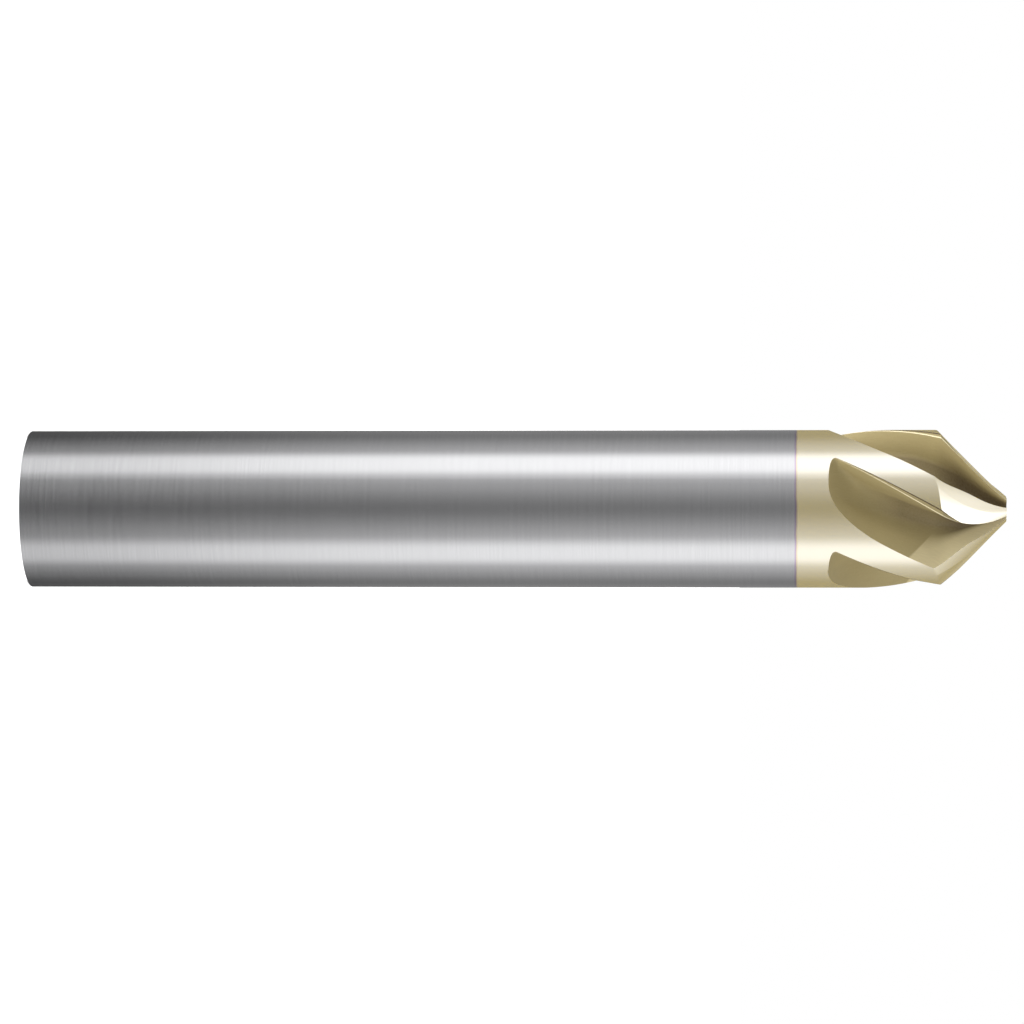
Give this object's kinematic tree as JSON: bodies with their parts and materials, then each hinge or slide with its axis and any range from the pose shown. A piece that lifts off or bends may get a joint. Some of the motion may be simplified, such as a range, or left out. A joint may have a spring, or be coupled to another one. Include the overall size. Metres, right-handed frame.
{
  "type": "chamfer mill",
  "caption": "Solid carbide chamfer mill with a plain round shank, helical flutes and a coated, relieved 90 degree cutting point.",
  "frame": {"origin": "centre of the flat end of the shank, on which the tool stands", "axes": "+Z along the tool's axis, from the end of the shank to the cutting tip; X and Y across it"},
  "size_m": [0.012, 0.012, 0.075],
  "materials": {
    "carbide": "ground bright, with a pale gold coating on the cutting head"
  },
  "bodies": {
    "root": {"chamfer_mill": "carbide"}
  },
  "joints": []
}
